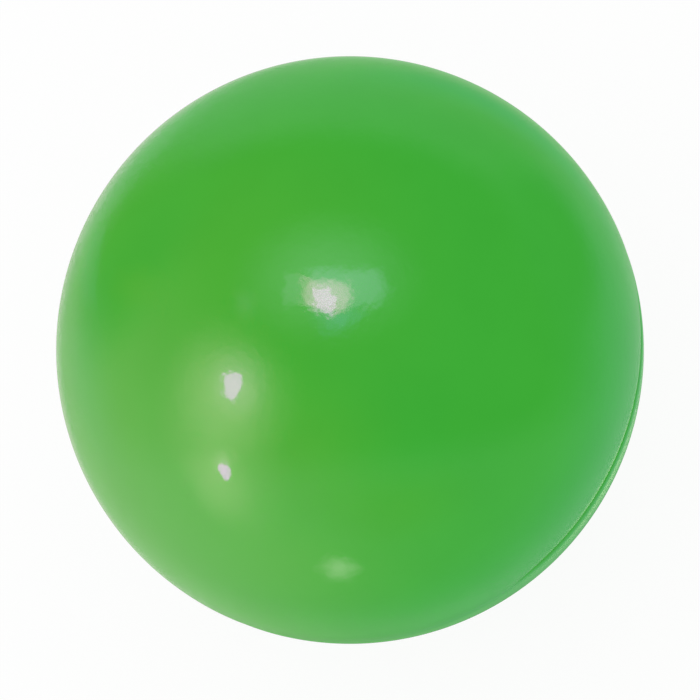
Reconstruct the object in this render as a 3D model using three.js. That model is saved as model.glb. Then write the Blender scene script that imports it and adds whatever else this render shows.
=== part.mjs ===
// Field hockey ball: two moulded PVC cover halves, joined at a seam round a cork-and-rubber core.
// Millimetres, +Z up, origin at the centre of the ball. The seam lies in the plane z = 0, and +Z runs
// through the pole of the front half.
import * as THREE from "three";

// Ball, over the smooth cover
const BALL_DIAMETER = 73;

// Cover, and the film of adhesive that bonds the core inside it
const COVER_WALL = 5;
const BOND_GAP = 0.3;

// Shallow groove where the halves meet on the outside: each rounds down to it over a lip of its own width
const FRONT_LIP_WIDTH = 2;
const REAR_LIP_WIDTH = 1;
const SEAM_GROOVE_DEPTH = 0.35;

// Tongue on the rim of the front half: wide at its root, tapered by the mould's draft, a lead-in at its tip
const TONGUE_WIDTH = 1.6;
const TONGUE_HEIGHT = 1.8;
const TONGUE_LEAD_IN = 0.25;
const DRAFT_DEGREES = 4;

// Weld on the floor of the rear half's groove, and the side clearance of what enters that groove
const WELD_HEIGHT = 0.8;
const JOINT_CLEARANCE = 0.3;

// Facets
const FACETS_ROUND = 64;
const DOME_STEPS = 16;
const HOLLOW_STEPS = 8;
const LIP_STEPS = 4;

const QUARTER_TURN = Math.PI / 2;

const ballRadius = BALL_DIAMETER / 2;
const hollowRadius = ballRadius - COVER_WALL;
const coreRadius = hollowRadius - BOND_GAP;
const rimRadius = ballRadius - SEAM_GROOVE_DEPTH;
const jointRadius = (rimRadius + hollowRadius) / 2;
const grooveWidth = TONGUE_WIDTH + 2 * JOINT_CLEARANCE;
const grooveDepth = TONGUE_HEIGHT + WELD_HEIGHT;
const draftSlope = Math.tan(THREE.MathUtils.degToRad(DRAFT_DEGREES));

// A profile is a list of points in the half plane through the axis: x is the radius and y the height.
const point = (radius, height) => new THREE.Vector2(radius, height);

// The same profile on the other side of the seam. Its order turns round, so that its solid still faces out.
const mirrored = (profile) => profile.map(({ x, y }) => point(x, -y)).reverse();

// Arc of an ellipse, with both ends among its points. Its angle runs from the radius towards the height.
function arc(centre, semiAxes, fromAngle, toAngle, steps) {
  const points = [];
  for (let step = 0; step <= steps; step++) {
    const angle = THREE.MathUtils.lerp(fromAngle, toAngle, step / steps);
    const offset = point(Math.cos(angle), Math.sin(angle)).multiply(semiAxes);
    points.push(offset.add(centre));
  }
  return points;
}

// Arc of a circle about the centre of the ball, between two latitudes
function meridian(radius, fromLatitude, toLatitude, steps) {
  return arc(point(0, 0), point(radius, radius), fromLatitude, toLatitude, steps);
}

// Outside of a cover half: from the bottom of the seam groove, round the lip and over the dome to the pole
function outside(lipWidth) {
  const lipRadius = Math.sqrt(ballRadius ** 2 - lipWidth ** 2);
  const lipCentre = point(rimRadius, lipWidth);
  const lipSize = point(lipRadius - rimRadius, lipWidth);
  const lip = arc(lipCentre, lipSize, -QUARTER_TURN, 0, LIP_STEPS);
  const lipLatitude = Math.asin(lipWidth / ballRadius);
  const dome = meridian(ballRadius, lipLatitude, QUARTER_TURN, DOME_STEPS);
  return [...lip, ...dome.slice(1)];
}

// Hollow of a cover half, from the pole to the rim
function hollow() {
  return meridian(hollowRadius, QUARTER_TURN, 0, HOLLOW_STEPS);
}

// Tongue of the front half, from the inside outwards
function tongue() {
  const root = TONGUE_WIDTH / 2;
  const shoulderDepth = TONGUE_HEIGHT - TONGUE_LEAD_IN;
  const shoulder = root - shoulderDepth * draftSlope;
  const tip = shoulder - TONGUE_LEAD_IN;
  return [
    point(jointRadius - root, 0),
    point(jointRadius - shoulder, -shoulderDepth),
    point(jointRadius - tip, -TONGUE_HEIGHT),
    point(jointRadius + tip, -TONGUE_HEIGHT),
    point(jointRadius + shoulder, -shoulderDepth),
    point(jointRadius + root, 0),
  ];
}

const grooveFloorHalfWidth = grooveWidth / 2 - grooveDepth * draftSlope;

// Groove of the rear half, from the outside inwards, clear of the tongue all the way down
function groove() {
  return [
    point(jointRadius + grooveWidth / 2, 0),
    point(jointRadius + grooveFloorHalfWidth, -grooveDepth),
    point(jointRadius - grooveFloorHalfWidth, -grooveDepth),
    point(jointRadius - grooveWidth / 2, 0),
  ];
}

// The weld fills the height between the floor of the groove and the tip of the tongue.
function weldSection() {
  const inner = jointRadius - grooveFloorHalfWidth + JOINT_CLEARANCE;
  const outer = jointRadius + grooveFloorHalfWidth - JOINT_CLEARANCE;
  return [
    point(inner, -grooveDepth),
    point(outer, -grooveDepth),
    point(outer, -TONGUE_HEIGHT),
    point(inner, -TONGUE_HEIGHT),
    point(inner, -grooveDepth),
  ];
}

// The core has the same steps as the hollows, so that the bond between them is even all round.
function coreOutline() {
  return meridian(coreRadius, -QUARTER_TURN, QUARTER_TURN, 2 * HOLLOW_STEPS);
}

// A solid of revolution about the ball's axis
function turned(name, profile, look) {
  const geometry = new THREE.LatheGeometry(profile, FACETS_ROUND);
  geometry.rotateX(QUARTER_TURN);
  const mesh = new THREE.Mesh(geometry, new THREE.MeshStandardMaterial(look));
  mesh.name = name;
  return mesh;
}

const greenPvc = { color: 0x3dab36, roughness: 0.25, metalness: 0 };
const weldedPvc = { color: 0x2f8a2c, roughness: 0.45, metalness: 0 };
const corkAndRubber = { color: 0x9c7248, roughness: 0.9, metalness: 0 };

const frontProfile = [...hollow(), ...tongue(), ...outside(FRONT_LIP_WIDTH)];
const rearProfile = [...mirrored(outside(REAR_LIP_WIDTH)), ...groove(), ...mirrored(hollow())];

const ball = new THREE.Group();
ball.add(
  turned("front_cover", frontProfile, greenPvc),
  turned("rear_cover", rearProfile, greenPvc),
  turned("seam_weld", weldSection(), weldedPvc),
  turned("core", coreOutline(), corkAndRubber),
);

export default ball;
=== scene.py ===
"""Looks of a field hockey ball: glossy moulded PVC halves, their welded seam, and the cork core inside."""

import itertools
import math

import bmesh
import bpy
import numpy as np
from mathutils import Matrix, Vector
from mathutils.kdtree import KDTree


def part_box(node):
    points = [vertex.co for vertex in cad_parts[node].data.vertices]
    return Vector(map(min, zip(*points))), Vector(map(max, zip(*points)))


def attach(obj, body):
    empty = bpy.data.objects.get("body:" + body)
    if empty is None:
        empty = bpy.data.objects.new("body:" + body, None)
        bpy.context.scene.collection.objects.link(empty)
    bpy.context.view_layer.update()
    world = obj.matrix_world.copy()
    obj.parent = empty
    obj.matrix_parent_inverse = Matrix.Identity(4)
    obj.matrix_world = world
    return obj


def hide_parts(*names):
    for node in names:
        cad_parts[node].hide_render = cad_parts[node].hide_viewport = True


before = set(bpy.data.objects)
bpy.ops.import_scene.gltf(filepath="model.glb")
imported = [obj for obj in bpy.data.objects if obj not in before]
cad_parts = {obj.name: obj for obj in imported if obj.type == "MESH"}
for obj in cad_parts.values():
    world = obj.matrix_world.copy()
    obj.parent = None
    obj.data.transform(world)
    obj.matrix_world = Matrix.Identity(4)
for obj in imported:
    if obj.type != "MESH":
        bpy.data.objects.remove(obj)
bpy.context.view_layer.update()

MM = 0.001
QUARTER_TURN = math.pi / 2
WHITE = (1, 1, 1)

# Sizes of the solids, taken from the frame
BALL_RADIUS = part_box("front_cover")[1].z
CORE_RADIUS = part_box("core")[1].z
TONGUE_HEIGHT = -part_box("front_cover")[0].z
JOINT_GROOVE_DEPTH = -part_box("seam_weld")[0].z

# Sizes of the solids that the frame doesn't tell, repeated from their source
BOND_GAP = 0.3 * MM
FRONT_LIP_WIDTH = 2 * MM
REAR_LIP_WIDTH = 1 * MM
SEAM_GROOVE_DEPTH = 0.35 * MM
TONGUE_WIDTH = 1.6 * MM
TONGUE_LEAD_IN = 0.25 * MM
DRAFT_DEGREES = 4
JOINT_CLEARANCE = 0.3 * MM

# Sizes that follow from those
HOLLOW_RADIUS = CORE_RADIUS + BOND_GAP
RIM_RADIUS = BALL_RADIUS - SEAM_GROOVE_DEPTH
JOINT_RADIUS = (RIM_RADIUS + HOLLOW_RADIUS) / 2
DRAFT_SLOPE = math.tan(math.radians(DRAFT_DEGREES))
JOINT_GROOVE_WIDTH = TONGUE_WIDTH + 2 * JOINT_CLEARANCE
JOINT_GROOVE_FLOOR = JOINT_GROOVE_WIDTH - 2 * JOINT_GROOVE_DEPTH * DRAFT_SLOPE

# Meshes: cells along a grid's side, rings round a lip, points round a ring, and the angle of a sharp edge
DOME_CELLS = 176
CORE_CELLS = 128
CARD_CELLS = 32
LIP_RINGS = 12
WELD_POINTS = 480
FLOOR_POINTS = 96
SHARP_EDGE = math.radians(35)

# The photograph: its side and the ball's outline in pixels, the direction from the outline's centre in
# which the seam comes nearest to the camera, and the angle by which it is turned towards the camera there
IMAGE_SIDE = 700
OUTLINE_CENTRE = (349.9, 349.6)
OUTLINE_RADIUS = 293.9
SEAM_SIDE = math.radians(-45.6)
SEAM_TILT = math.radians(23)

# The camera, with its sensor in millimetres
CAMERA_DISTANCE = 190 * MM
CLIP_START = 10 * MM
SENSOR_WIDTH = 36

# Seam groove: how many stretches round the ball are full, the middle of one of them, how steeply they
# begin, the shares of its depth where it is nearly flush and where it is full, and a faint ripple all round
FULL_STRETCHES = 3
FULL_STRETCH_AT = math.radians(-61)
STRETCH_STEEPNESS = 2
FLUSH_SHARE = 0.1
FULL_SHARE = 0.96
RIPPLE_SHARE = 0.04
RIPPLE_COUNT = 11
RIPPLE_PHASE = 1.3

# Gentle unevenness of the moulded surface: many faint waves that run in all directions
WAVE_COUNT = 40
WAVE_LENGTHS = (2.6 * MM, 7 * MM)
WAVE_HEIGHT = 0.0006 * MM
FRONT_SEED = 3
REAR_SEED = 4

# Lumps along the sides of the weld, as waves too, cut off where they get too high
LUMP_COUNT = 12
LUMP_LENGTHS = (1.5 * MM, 6 * MM)
LUMP_HEIGHT = 0.06 * MM
LUMP_LIMIT = 2
WELD_SEED = 7

# Granules of the core, the heights of their faces against its sphere, and the furrows between them
GRANULE_COUNT = 900
GRANULE_HEIGHTS = (-0.14 * MM, -0.02 * MM)
FURROW_WIDTH = 0.5 * MM
FURROW_DEPTH = 0.1 * MM
CORE_SEED = 11


# Camera

def camera_axes():
    """Right, up and backward of a camera that sees the seam's nearest point at SEAM_SIDE in the image."""
    elevation = QUARTER_TURN - SEAM_TILT
    back = Vector((0, -math.cos(elevation), math.sin(elevation)))
    level_right = Vector((1, 0, 0))
    level_up = back.cross(level_right)
    roll = SEAM_SIDE + QUARTER_TURN
    right = math.cos(roll) * level_right - math.sin(roll) * level_up
    return right, back.cross(right), back


RIGHT, UP, BACK = camera_axes()

# Slope of a sight line that touches the ball, against the middle of the view
LIMB_SLOPE = BALL_RADIUS / math.sqrt(CAMERA_DISTANCE**2 - BALL_RADIUS**2)


def make_camera():
    """A camera that shows the ball as large as the photograph does."""
    data = bpy.data.cameras.new("camera")
    data.sensor_width = SENSOR_WIDTH
    frame_slope = LIMB_SLOPE * IMAGE_SIDE / 2 / OUTLINE_RADIUS
    data.lens = SENSOR_WIDTH / 2 / frame_slope
    data.clip_start = CLIP_START
    camera = bpy.data.objects.new("camera", data)
    turn = Matrix((RIGHT, UP, BACK)).transposed().to_4x4()
    camera.matrix_world = Matrix.Translation(BACK * CAMERA_DISTANCE) @ turn
    bpy.context.collection.objects.link(camera)
    bpy.context.scene.camera = camera


def mirror_rays(pixels):
    """Points of the ball that show at pixels, and the directions that the camera sees reflected in them."""
    slopes = (pixels - OUTLINE_CENTRE) * (1, -1) / OUTLINE_RADIUS * LIMB_SLOPE
    sight = slopes @ np.array([RIGHT, UP]) - BACK
    sight /= np.linalg.norm(sight, axis=1, keepdims=True)
    eye = np.array(BACK) * CAMERA_DISTANCE
    along = -sight @ eye
    depth = along - np.sqrt(along**2 - CAMERA_DISTANCE**2 + BALL_RADIUS**2)
    points = eye + depth[:, None] * sight
    normals = points / BALL_RADIUS
    return points, sight - 2 * (sight * normals).sum(axis=1, keepdims=True) * normals


# Meshes

def add_mesh(name, points, faces):
    """A new mesh object in the scene."""
    mesh = bpy.data.meshes.new(name)
    mesh.from_pydata(points, [], faces.tolist())
    piece = bpy.data.objects.new(name, mesh)
    bpy.context.collection.objects.link(piece)
    return piece


def closed_piece(name, points, faces):
    """A closed piece of the ball with its faces out, smooth apart from its sharp edges."""
    piece = add_mesh(name, points, faces)
    work = bmesh.new()
    work.from_mesh(piece.data)
    bmesh.ops.recalc_face_normals(work, faces=work.faces)
    work.to_mesh(piece.data)
    work.free()
    piece.data.shade_smooth()
    piece.data.set_sharp_from_angle(angle=SHARP_EDGE)
    return piece


def disc_grid(cells):
    """A square grid drawn out to a unit disc: radius and azimuth of its points, its quads and its rim."""
    side = np.linspace(-1, 1, cells + 1)
    x, y = (part.ravel() for part in np.meshgrid(side, side))
    radius = np.maximum(np.abs(x), np.abs(y))
    wide = np.abs(x) >= np.abs(y)
    longer = np.where(wide, x, y)
    shorter = np.where(wide, y, x)
    ratio = np.divide(shorter, longer, out=np.zeros_like(x), where=radius > 0)
    # Each side of the square takes a quarter of the turn
    azimuth = np.where(wide, ratio, 2 - ratio) * math.pi / 4 + math.pi * (longer < 0)
    index = np.arange((cells + 1) ** 2).reshape(cells + 1, cells + 1)
    corners = (index[:-1, :-1], index[:-1, 1:], index[1:, 1:], index[1:, :-1])
    quads = np.stack(corners, -1).reshape(-1, 4)
    rim = np.concatenate([index[:-1, -1], index[-1, :0:-1], index[:0:-1, 0], index[0, :-1]])
    return radius, azimuth, quads, rim


def dome(sphere_radius, reach, cells):
    """A part of a sphere round +Z, out to an angle of reach from it, with its rim and the rim's azimuth."""
    radius, azimuth, quads, rim = disc_grid(cells)
    angle = radius * reach
    flat = np.sin(angle)
    points = np.stack([flat * np.cos(azimuth), flat * np.sin(azimuth), np.cos(angle)], -1)
    return points * sphere_radius, quads, rim, azimuth[rim]


def ring(azimuth, radius, height):
    """A closed row of points about Z. Radius and height may change with the azimuth."""
    azimuth, radius, height = np.broadcast_arrays(azimuth, radius, height)
    return np.stack([radius * np.cos(azimuth), radius * np.sin(azimuth), height], -1)


def ring_quads(first, second):
    """Quads between two closed rows of point numbers."""
    return np.stack([first, np.roll(first, -1), np.roll(second, -1), second], -1)


def waves(points, seed, lengths, count):
    """Sum of faint waves that run in random directions, with a spread of about 1."""
    random = np.random.default_rng(seed)
    total = np.zeros(len(points))
    for _ in range(count):
        heading = random.normal(size=3)
        heading /= np.linalg.norm(heading)
        length = random.uniform(*lengths)
        total += np.cos(points @ heading * math.tau / length + random.uniform(0, math.tau))
    return total * math.sqrt(2 / count)


def seam_groove_depth(azimuth):
    """Depth of the groove along the seam, which buffing by hand left now full, now nearly flush."""
    swing = np.cos(FULL_STRETCHES * (azimuth - FULL_STRETCH_AT))
    ramp = np.clip(1 + STRETCH_STEEPNESS * swing, 0, 1)
    eased = ramp**2 * (3 - 2 * ramp)
    ripple = RIPPLE_SHARE * np.cos(RIPPLE_COUNT * azimuth + RIPPLE_PHASE)
    return SEAM_GROOVE_DEPTH * (FLUSH_SHARE + (FULL_SHARE - FLUSH_SHARE) * eased + ripple)


def front_joint(azimuth):
    """Rows of the front half's rim inside its lip: the tongue that enters the rear half."""
    root = TONGUE_WIDTH / 2
    shoulder_height = TONGUE_HEIGHT - TONGUE_LEAD_IN
    shoulder = root - shoulder_height * DRAFT_SLOPE
    tip = shoulder - TONGUE_LEAD_IN
    section = [(root, 0), (shoulder, -shoulder_height), (tip, -TONGUE_HEIGHT)]
    section += [(-across, height) for across, height in reversed(section)]
    return [ring(azimuth, JOINT_RADIUS + across, height) for across, height in section]


def rear_joint(azimuth):
    """Rows of the rear half's rim inside its lip: the groove for the tongue, as seen with the rim down."""
    mouth = JOINT_GROOVE_WIDTH / 2
    floor = JOINT_GROOVE_FLOOR / 2
    section = [(mouth, 0), (floor, JOINT_GROOVE_DEPTH), (-floor, JOINT_GROOVE_DEPTH), (-mouth, 0)]
    return [ring(azimuth, JOINT_RADIUS + across, height) for across, height in section]


def cover_half(name, side, lip_width, joint, seed):
    """A moulded half: dome, rounded lip, joint and hollow. Side is 1 above the seam and -1 below it."""
    lip_latitude = math.asin(lip_width / BALL_RADIUS)
    dome_reach = QUARTER_TURN - lip_latitude
    outer, outer_quads, outer_rim, azimuth = dome(BALL_RADIUS, dome_reach, DOME_CELLS)
    hollow, hollow_quads, hollow_rim, _ = dome(HOLLOW_RADIUS, QUARTER_TURN, DOME_CELLS)
    lip_radius = BALL_RADIUS * math.cos(lip_latitude)
    rim_radius = BALL_RADIUS - seam_groove_depth(azimuth)
    lip = []
    for turn in np.linspace(0, QUARTER_TURN, LIP_RINGS + 1)[1:]:
        radius = rim_radius + (lip_radius - rim_radius) * math.cos(turn)
        lip.append(ring(azimuth, radius, lip_width * (1 - math.sin(turn))))
    outside = np.concatenate([outer, *lip])
    swell = WAVE_HEIGHT / BALL_RADIUS * waves(outside, seed, WAVE_LENGTHS, WAVE_COUNT)
    outside *= 1 + swell[:, None]
    rows = joint(azimuth)
    points = np.concatenate([outside, *rows, hollow]) * (1, 1, side)
    rim_size = len(azimuth)
    row_count = len(lip) + len(rows)
    row_numbers = [len(outer) + row * rim_size + np.arange(rim_size) for row in range(row_count)]
    hollow_start = len(points) - len(hollow)
    chain = [outer_rim, *row_numbers, hollow_start + hollow_rim]
    bands = [ring_quads(first, second) for first, second in zip(chain, chain[1:])]
    faces = np.concatenate([outer_quads, *bands, hollow_start + hollow_quads])
    return closed_piece(name, points, faces)


def weld_bead():
    """The weld: a flat ring with the lumpy sides of melted and set plastic."""
    azimuth = np.linspace(0, math.tau, WELD_POINTS, endpoint=False)
    half_width = JOINT_GROOVE_FLOOR / 2 - JOINT_CLEARANCE
    low = -JOINT_GROOVE_DEPTH
    high = -TONGUE_HEIGHT
    rows = []
    for side, height in ((-1, low), (1, low), (1, high), (-1, high)):
        straight = ring(azimuth, JOINT_RADIUS + side * half_width, height)
        lumps = waves(straight, WELD_SEED, LUMP_LENGTHS, LUMP_COUNT).clip(-LUMP_LIMIT, LUMP_LIMIT)
        rows.append(ring(azimuth, JOINT_RADIUS + side * (half_width + LUMP_HEIGHT * lumps), height))
    numbers = np.arange(len(azimuth) * len(rows)).reshape(len(rows), -1)
    faces = np.concatenate([ring_quads(numbers[row - 1], numbers[row]) for row in range(len(rows))])
    return closed_piece("seam_weld_bead", np.concatenate(rows), faces)


def cork_ball():
    """The core: cork granules pressed into a ball, with faces at slightly different heights."""
    upper, quads, rim, _ = dome(CORE_RADIUS, QUARTER_TURN, CORE_CELLS)
    inner = np.setdiff1d(np.arange(len(upper)), rim)
    lower_number = np.arange(len(upper))
    lower_number[inner] = len(upper) + np.arange(len(inner))
    points = np.concatenate([upper, upper[inner] * (1, 1, -1)])
    faces = np.concatenate([quads, lower_number[quads]])
    random = np.random.default_rng(CORE_SEED)
    centres = random.normal(size=(GRANULE_COUNT, 3))
    centres *= CORE_RADIUS / np.linalg.norm(centres, axis=1)[:, None]
    face_heights = random.uniform(*GRANULE_HEIGHTS, GRANULE_COUNT)
    granules = KDTree(GRANULE_COUNT)
    for number, centre in enumerate(centres):
        granules.insert(centre, number)
    granules.balance()
    heights = np.empty(len(points))
    for number, place in enumerate(points):
        (_, nearest, near), (_, _, far) = granules.find_n(place, 2)
        off_furrow = min(1, (far - near) / FURROW_WIDTH)
        heights[number] = face_heights[nearest] - FURROW_DEPTH * (1 - off_furrow) ** 2
    points *= (1 + heights / CORE_RADIUS)[:, None]
    return closed_piece("core_cork_ball", points, faces)


# Tools for materials

def new_material(name):
    """An empty node material, and its node tree."""
    material = bpy.data.materials.new(name)
    material.use_nodes = True
    material.node_tree.nodes.clear()
    return material, material.node_tree


def add(tree, kind, inputs=(), **settings):
    """A node with its settings. An input is a value or another node's output."""
    node = tree.nodes.new(kind)
    for name, value in settings.items():
        setattr(node, name, value)
    for name, value in dict(inputs).items():
        if isinstance(value, bpy.types.NodeSocket):
            tree.links.new(value, node.inputs[name])
        else:
            node.inputs[name].default_value = value
    return node


def calculate(tree, operation, *values):
    """The result of an operation on values and other nodes' outputs."""
    return add(tree, "ShaderNodeMath", dict(enumerate(values)), operation=operation).outputs["Value"]


def blend(tree, factor, first, second):
    """A colour between two, by a factor."""
    mix = add(tree, "ShaderNodeMix", {"Factor": factor}, data_type="RGBA")
    for socket, value in (("A_Color", first), ("B_Color", second)):
        target = next(item for item in mix.inputs if item.identifier == socket)
        if isinstance(value, bpy.types.NodeSocket):
            tree.links.new(value, target)
        else:
            target.default_value = (*value, 1)
    return next(item for item in mix.outputs if item.identifier == "Result_Color")


def span(tree, value, source, target=(0, 1)):
    """A value carried from one range to another, smoothly and within it."""
    inputs = {"Value": value}
    inputs["From Min"], inputs["From Max"] = source
    inputs["To Min"], inputs["To Max"] = target
    return add(tree, "ShaderNodeMapRange", inputs, interpolation_type="SMOOTHSTEP").outputs["Result"]


def object_place(tree):
    """The place of a point on a piece, in metres in the frame."""
    return add(tree, "ShaderNodeTexCoord").outputs["Object"]


def noise(tree, place, size, detail=2.0, roughness=0.5):
    """Noise between about 0 and 1 with features of a size in metres."""
    inputs = {"Vector": place, "Scale": 1 / size, "Detail": detail, "Roughness": roughness}
    return add(tree, "ShaderNodeTexNoise", inputs).outputs["Fac"]


def relief(tree, height, depth, strength=1.0, under=None):
    """The normal of a fine relief, laid over another relief where there is one."""
    inputs = {"Height": height, "Distance": depth, "Strength": strength}
    if under is not None:
        inputs["Normal"] = under
    return add(tree, "ShaderNodeBump", inputs).outputs["Normal"]


def finish_principled(tree, inputs):
    """Ends a material with a principled shader."""
    shader = add(tree, "ShaderNodeBsdfPrincipled", inputs)
    add(tree, "ShaderNodeOutputMaterial", {"Surface": shader.outputs["BSDF"]})


# PVC of the cover: two close greens of its pigment, painted shade in the seam groove, and a band paler from
# buffing that also holds painted sheen
PVC_GREEN = (0.0485, 0.425, 0.038)
PVC_DEEP = (0.0465, 0.415, 0.0365)
PVC_GROOVE_SHADE = (0.058, 0.41, 0.055)
PVC_BUFFED_SHEEN = (0.07, 0.467, 0.056)
PVC_MOTTLE_SIZE = 9 * MM
PVC_MOTTLE_RANGE = (0.35, 0.65)

# Distance from the seam over which the groove's painted shade sets in, and heights over which the band of
# the rear half that is paler from buffing and holds painted sheen sets in and fades out, with its patches
GROOVE_SHADE_REACH = (0.75 * MM, 0.15 * MM)
BUFFED_SHEEN_START = (-0.3 * MM, -1.5 * MM)
BUFFED_SHEEN_END = (-9 * MM, -2 * MM)
PATCH_SIZE = 5 * MM
PATCH_RANGE = (0.3, 0.6)
PATCH_SHARE = (0.6, 1)

# Surface of the cover: haze in its roughness, orange peel, fine grain, and the clear gloss over it
HAZE_SIZE = 14 * MM
HAZE_RANGE = (0.3, 0.7)
HAZE_ROUGHNESS = (0.32, 0.42)
PEEL_SIZE = 1.8 * MM
PEEL_DEPTH = 0.016 * MM
GRAIN_SIZE = 0.8 * MM
GRAIN_DEPTH = 0.008 * MM
GLOSS_WEIGHT = 0.32
GLOSS_IOR = 2.0
GLOSS_ROUGHNESS = 0.06


def pvc_material():
    """Pigmented PVC under a clear gloss that mirrors the studio, with painted shade in the seam groove and
    painted sheen beside it.
    """
    material, tree = new_material("green_pvc")
    place = object_place(tree)
    height = add(tree, "ShaderNodeSeparateXYZ", {"Vector": place}).outputs["Z"]
    mottle = span(tree, noise(tree, place, PVC_MOTTLE_SIZE, detail=3), PVC_MOTTLE_RANGE)
    patches = span(tree, noise(tree, place, PATCH_SIZE), PATCH_RANGE, PATCH_SHARE)
    # Band of the rear half beside the seam, paler from buffing, with painted sheen
    buffed_sheen = calculate(tree, "MULTIPLY", span(tree, height, BUFFED_SHEEN_START), span(tree, height, BUFFED_SHEEN_END))
    buffed_sheen = calculate(tree, "MULTIPLY", buffed_sheen, patches)
    # Duller green in the seam groove: painted shade of the recess
    groove_shade = span(tree, calculate(tree, "ABSOLUTE", height), GROOVE_SHADE_REACH)
    colour = blend(tree, mottle, PVC_GREEN, PVC_DEEP)
    colour = blend(tree, buffed_sheen, colour, PVC_BUFFED_SHEEN)
    colour = blend(tree, groove_shade, colour, PVC_GROOVE_SHADE)
    haze = noise(tree, place, HAZE_SIZE, detail=4, roughness=0.6)
    peel = relief(tree, noise(tree, place, PEEL_SIZE), PEEL_DEPTH)
    grain = relief(tree, noise(tree, place, GRAIN_SIZE, detail=1), GRAIN_DEPTH, under=peel)
    finish_principled(tree, {
        "Base Color": colour,
        "Roughness": span(tree, haze, HAZE_RANGE, HAZE_ROUGHNESS),
        "Specular IOR Level": 0.0,
        "Coat Weight": GLOSS_WEIGHT,
        "Coat IOR": GLOSS_IOR,
        "Coat Roughness": GLOSS_ROUGHNESS,
        "Normal": grain,
        "Coat Normal": grain,
    })
    return material


# Weld: greens and roughness of its lumps
WELD_DEEP = (0.022, 0.22, 0.018)
WELD_GREEN = (0.035, 0.31, 0.027)
WELD_LUMP_SIZE = 1.2 * MM
WELD_LUMP_RANGE = (0.3, 0.7)
WELD_LUMP_DEPTH = 0.1 * MM
WELD_ROUGHNESS = (0.35, 0.55)


def weld_material():
    """Melted and set PVC."""
    material, tree = new_material("welded_pvc")
    lumps = noise(tree, object_place(tree), WELD_LUMP_SIZE, detail=4)
    finish_principled(tree, {
        "Base Color": blend(tree, span(tree, lumps, WELD_LUMP_RANGE), WELD_DEEP, WELD_GREEN),
        "Roughness": span(tree, lumps, WELD_LUMP_RANGE, WELD_ROUGHNESS),
        "Normal": relief(tree, lumps, WELD_LUMP_DEPTH, strength=0.4),
    })
    return material


# Core: browns of the granules, of their pores and of the binder round them
CORK_DARK = (0.23, 0.11, 0.045)
CORK_PALE = (0.46, 0.26, 0.11)
CORK_PORE = (0.12, 0.055, 0.022)
BINDER_BROWN = (0.035, 0.026, 0.02)
CORK_CELL_SIZE = 3.2 * MM
CORK_ROUGHNESS = (0.78, 0.95)
PORE_SIZE = 0.35 * MM
PORE_RANGE = (0.55, 0.7)
PORE_DEPTH = 0.1 * MM
BINDER_RANGE = (0.09, 0.02)


def cork_material():
    """Bonded cork granules of many browns, with pores and dark binder."""
    material, tree = new_material("cork_and_rubber")
    place = object_place(tree)
    pattern = {"Vector": place, "Scale": 1 / CORK_CELL_SIZE}
    cells = add(tree, "ShaderNodeTexVoronoi", pattern)
    edges = add(tree, "ShaderNodeTexVoronoi", pattern, feature="DISTANCE_TO_EDGE")
    tone = add(tree, "ShaderNodeSeparateColor", {"Color": cells.outputs["Color"]}).outputs["Red"]
    pores = noise(tree, place, PORE_SIZE, detail=3)
    colour = blend(tree, tone, CORK_DARK, CORK_PALE)
    colour = blend(tree, span(tree, pores, PORE_RANGE), colour, CORK_PORE)
    colour = blend(tree, span(tree, edges.outputs["Distance"], BINDER_RANGE), colour, BINDER_BROWN)
    finish_principled(tree, {
        "Base Color": colour,
        "Roughness": span(tree, tone, (0, 1), CORK_ROUGHNESS),
        "Normal": relief(tree, pores, PORE_DEPTH, strength=0.5),
    })
    return material


# Pieces of the ball

front = cover_half("front_cover_moulding", 1, FRONT_LIP_WIDTH, front_joint, FRONT_SEED)
rear = cover_half("rear_cover_moulding", -1, REAR_LIP_WIDTH, rear_joint, REAR_SEED)
pvc = pvc_material()
DRESSING = (
    (front, "front_cover", "cover", pvc),
    (rear, "rear_cover", "cover", pvc),
    (weld_bead(), "seam_weld", "weld", weld_material()),
    (cork_ball(), "core", "core", cork_material()),
)
for piece, node, slot, material in DRESSING:
    piece.data.materials.append(material)
    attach(piece, "root")
    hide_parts(node)


# Floor and light

FLOOR_RADIUS = 120 * MM
FLOOR_WHITE = (0.95, 0.95, 0.95)
FLOOR_GLOW = 0.9


def stage_piece(name, points, faces, material):
    """A mesh that belongs to the studio and not to the ball."""
    piece = add_mesh(name, points, faces)
    piece.data.materials.append(material)
    return piece


def floor_material():
    """White, and for a share plain white wherever it is looked at, so that the ball's shadow stays soft."""
    material, tree = new_material("floor_white")
    path = add(tree, "ShaderNodeLightPath").outputs
    seen = path["Is Camera Ray"]
    for kind in ("Is Glossy Ray", "Is Transmission Ray"):
        seen = calculate(tree, "MAXIMUM", seen, path[kind])
    share = calculate(tree, "MULTIPLY", seen, FLOOR_GLOW)
    matte = add(tree, "ShaderNodeBsdfDiffuse", {"Color": (*FLOOR_WHITE, 1)}).outputs["BSDF"]
    plain = add(tree, "ShaderNodeEmission", {"Color": (*WHITE, 1), "Strength": 1.0}).outputs["Emission"]
    mixed = add(tree, "ShaderNodeMixShader", {"Fac": share, 1: matte, 2: plain}).outputs["Shader"]
    add(tree, "ShaderNodeOutputMaterial", {"Surface": mixed})
    material.cycles.emission_sampling = "NONE"
    return material


def make_floor():
    """A round pale board under the ball."""
    azimuth = np.linspace(0, math.tau, FLOOR_POINTS, endpoint=False)
    edge = ring(azimuth, FLOOR_RADIUS, -BALL_RADIUS)
    one_face = np.arange(FLOOR_POINTS)[None, :]
    floor = stage_piece("floor", edge, one_face, floor_material())
    floor.visible_glossy = False


def make_world():
    """Even white light from all round."""
    world = bpy.data.worlds.new("studio")
    world.use_nodes = True
    bpy.context.scene.world = world
    tree = world.node_tree
    tree.nodes.clear()
    background = add(tree, "ShaderNodeBackground", {"Color": (*WHITE, 1), "Strength": 1.0})
    add(tree, "ShaderNodeOutputWorld", {"Surface": background.outputs["Background"]})


# Cards that the gloss of the ball mirrors

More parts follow.
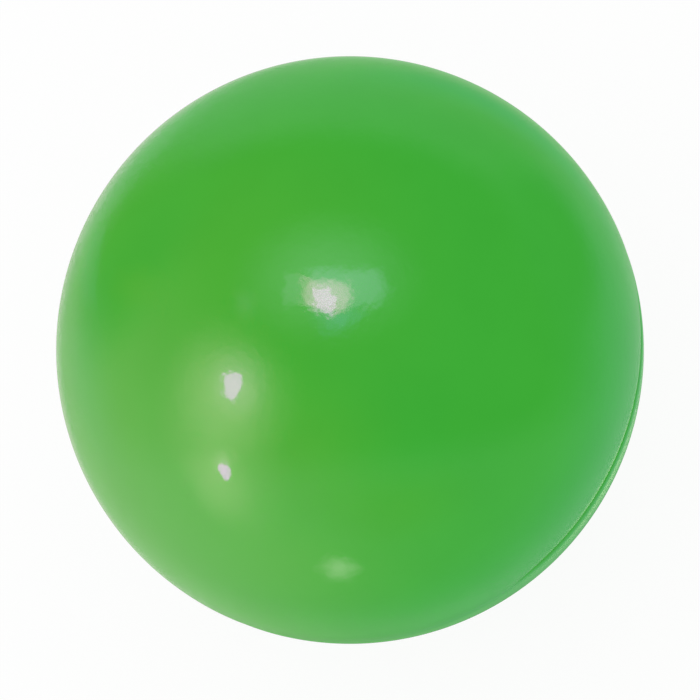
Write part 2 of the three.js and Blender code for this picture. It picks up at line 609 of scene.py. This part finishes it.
FARTHEST_CARD = 1000 * MM
CARD_SPACING = 20 * MM

card_numbers = itertools.count()


def next_distance():
    """Each card hangs a little nearer to the ball than the last one, so that no two lie in one place."""
    return FARTHEST_CARD - CARD_SPACING * next(card_numbers)


def turned_axes(centre):
    """The camera's axes, turned towards a place that is given as degrees right and up of the camera."""
    heading = centre[0] * RIGHT + centre[1] * UP
    turn = Matrix.Rotation(math.radians(heading.length), 3, BACK.cross(heading))
    return np.array([turn @ axis for axis in (RIGHT, UP, BACK)])


def oval(centre, half_size):
    """Points of an oval card. Its centre, right and up of the camera, and its half size are degrees."""
    radius, azimuth, _, _ = disc_grid(CARD_CELLS)
    across = np.radians(half_size[0] * radius * np.cos(azimuth))
    up = np.radians(half_size[1] * radius * np.sin(azimuth))
    angle = np.hypot(across, up)
    flat = np.sinc(angle / math.pi)
    directions = np.stack([across * flat, up * flat, np.cos(angle)], -1) @ turned_axes(centre)
    return next_distance() * directions


def pane(outline):
    """Points of a card with straight sides, whose reflection has corners at pixels of the photograph."""
    radius, azimuth, _, _ = disc_grid(CARD_CELLS)
    corners = np.array(outline, dtype=float)
    centre = corners.mean(axis=0)
    count = len(corners)
    along = azimuth / math.tau * count
    edge = np.stack([np.interp(along, np.arange(count), part, period=count) for part in corners.T], -1)
    points, directions = mirror_rays(centre + radius[:, None] * (edge - centre))
    return points + next_distance() * directions


def hang(name, points, strength, colour=WHITE, feather=1.0, opaque=False):
    """A card that only the gloss shows, with an edge that is soft over a share of its reach, the feather.

    An opaque card hides what is behind it, and the others add their light to it.
    """
    radius, _, quads, _ = disc_grid(CARD_CELLS)
    material, tree = new_material(name)
    reach = add(tree, "ShaderNodeAttribute", attribute_name="reach").outputs["Fac"]
    cover = span(tree, reach, (1, 1 - feather))
    light = strength if opaque else calculate(tree, "MULTIPLY", cover, strength)
    glow = add(tree, "ShaderNodeEmission", {"Color": (*colour, 1), "Strength": light}).outputs["Emission"]
    clear = add(tree, "ShaderNodeBsdfTransparent").outputs["BSDF"]
    if opaque:
        surface = add(tree, "ShaderNodeMixShader", {"Fac": cover, 1: clear, 2: glow})
    else:
        surface = add(tree, "ShaderNodeAddShader", {0: clear, 1: glow})
    add(tree, "ShaderNodeOutputMaterial", {"Surface": surface.outputs["Shader"]})
    material.cycles.emission_sampling = "NONE"
    card = stage_piece(name, points, quads, material)
    card.data.attributes.new("reach", "FLOAT", "POINT").data.foreach_set("value", radius)
    card.visible_camera = False
    card.visible_diffuse = False
    card.visible_shadow = False
    card.visible_transmission = False


# Corners of the reflections that have a clear outline, in pixels of the photograph
KEY_SPOT = ((228, 286), (246, 280), (262, 294), (260, 322), (242, 328), (228, 314))
KEY_SIDE = ((282, 270), (306, 272), (306, 308), (280, 309))
KEY_FRAME = ((300, 265), (332, 263), (386, 264), (398, 290), (386, 308), (352, 313), (300, 311))
KEY_PANE = ((295, 272), (352, 278), (360, 298), (346, 314), (331, 321), (296, 307))
KEY_CORE = ((310, 287), (329, 286), (339, 299), (332, 319), (315, 311))
KEY_FOOT = ((296, 302), (368, 300), (376, 312), (346, 338), (316, 342))
LEFT_PANE = ((223, 372), (242, 371), (242, 390), (233, 405), (222, 394))
LOW_GLOW = ((206, 452), (224, 440), (240, 454), (238, 478), (222, 486), (208, 474))
LOW_PANE = ((217, 462), (226, 460), (232, 468), (229, 479), (225, 481), (218, 472))
BOTTOM_PANE = ((310, 566), (325, 551), (350, 552), (371, 567), (352, 585), (325, 584))
AMBER_PATCH = ((98, 292), (110, 262), (150, 252), (178, 276), (168, 314), (120, 322))
RIM_STRIP = (
    (110, 214), (104, 240), (100, 262), (97, 290), (98, 318),
    (80, 312), (76, 282), (82, 252), (96, 222),
)


def hang_far_cards():
    """Grey all round, with paler and darker places at the edge of the ball."""
    hang("grey_room", oval((0, 0), (156, 156)), 0.4, (0.9, 1, 1.1), feather=0.33, opaque=True)
    hang("cool_top", oval((-20, 110), (60, 40)), 0.4, (0.8, 0.6, 0.9))
    hang("pale_behind", oval((122, -89), (16, 16)), 1.3, (1, 1.2, 0.5))
    hang("shade_below", oval((45, -140), (40, 25)), 0.4, opaque=True)
    hang("shade_behind", oval((62, -150), (26, 22)), 0.45, feather=0.6, opaque=True)
    hang("pale_edge", oval((-116, 106), (18, 28)), 0.85, (1, 0.4, 0.85))
    hang("pale_edge_low", oval((-152, -40), (14, 26)), 0.6, (1, 0.4, 0.85))
    hang("shade_above", oval((63, 119), (35, 18)), 0.5, (1, 1.5, 1.8), opaque=True)


def hang_tints():
    """A wide dark field before the grey, and soft tints, mostly warm at the left and cool at the right."""
    hang("dark_room", oval((-10, 22), (127, 73)), 0.03, feather=0.25, opaque=True)
    hang("brown_low", oval((18, -58), (35, 22)), 0.45, (1, 0.75, 0.45), opaque=True)
    hang("cool_right", oval((118, -42), (50, 75)), 0.65, (0.3, 0.3, 1))
    hang("dim_corner", oval((84, 46), (27, 30)), 0.06, (1, 1.2, 2), feather=0.7, opaque=True)
    hang("amber_haze", oval((-50, 25), (100, 90)), 0.7, (1, 0.5, 0))
    hang("amber_low", oval((-15, -35), (40, 35)), 0.5, (1, 0.5, 0))
    hang("warm_left", oval((-84, -52), (85, 80)), 2.0, (1, 0.62, 0.58))
    hang("dark_left", oval((-90, 46), (38, 34)), 0.45, (1, 0.75, 0.2), feather=0.7, opaque=True)
    hang("pale_left", oval((-106, 90), (18, 22)), 0.25, (0.8, 0.9, 1), feather=0.6)
    hang("cool_left", oval((-115, -8), (25, 28)), 0.5, (0.4, 0.6, 1))
    hang("warm_low", oval((-15, -75), (55, 50)), 0.5, (1, 0.55, 0.2))
    hang("warm_strip", oval((-50, -30), (28, 45)), 2.0, (1, 0.75, 0.6))


def hang_key_light():
    """The main highlight above the middle of the ball: a bright pane in a dimmer frame, with a halo."""
    hang("key_halo", oval((-8, 26), (38, 28)), 1.9, (0.7, 0.8, 0.95))
    hang("key_spot", pane(KEY_SPOT), 0.75, (0.9, 0.5, 1))
    hang("key_side", pane(KEY_SIDE), 1.2, (0.8, 0.6, 1), feather=0.5)
    hang("key_frame", pane(KEY_FRAME), 2.7, (0.6, 0.55, 1), feather=0.45)
    hang("key_pane", pane(KEY_PANE), 7.4, (1, 0.3, 0.75), feather=0.5)
    hang("key_core", pane(KEY_CORE), 7.9, (0.85, 0.27, 0.95), feather=0.3)
    hang("key_foot", pane(KEY_FOOT), 2.5, (0.28, 0.32, 1))


def hang_small_lights():
    """Small highlights at the left, each in a haze, one at the bottom, and faint tints at the left edge."""
    hang("left_haze", oval((-42, -15), (28, 26)), 2.6, (1, 0.75, 0.66))
    hang("left_glow", oval((-40, -12), (15, 15)), 2.6, (1, 0.5, 0.9))
    hang("left_pane", pane(LEFT_PANE), 9.0, (1, 0.25, 1.2), feather=0.25)
    hang("low_haze", oval((-49, -50), (15, 18)), 1.5, (1, 0.75, 0.6))
    hang("low_glow", pane(LOW_GLOW), 2.0, (1, 0.6, 0.8))
    hang("low_pane", pane(LOW_PANE), 11, (1, 0.15, 1.2), feather=0.3)
    hang("bottom_pane", pane(BOTTOM_PANE), 3.3, (1, 0.85, 0.85))
    hang("rim_strip", pane(RIM_STRIP), 0.32, (0.35, 0.5, 1), feather=0.5)
    hang("amber_patch", pane(AMBER_PATCH), 0.35, (1, 0.4, 0))


make_floor()
make_world()
hang_far_cards()
hang_tints()
hang_key_light()
hang_small_lights()
make_camera()

bpy.context.scene.view_settings.view_transform = "Standard"
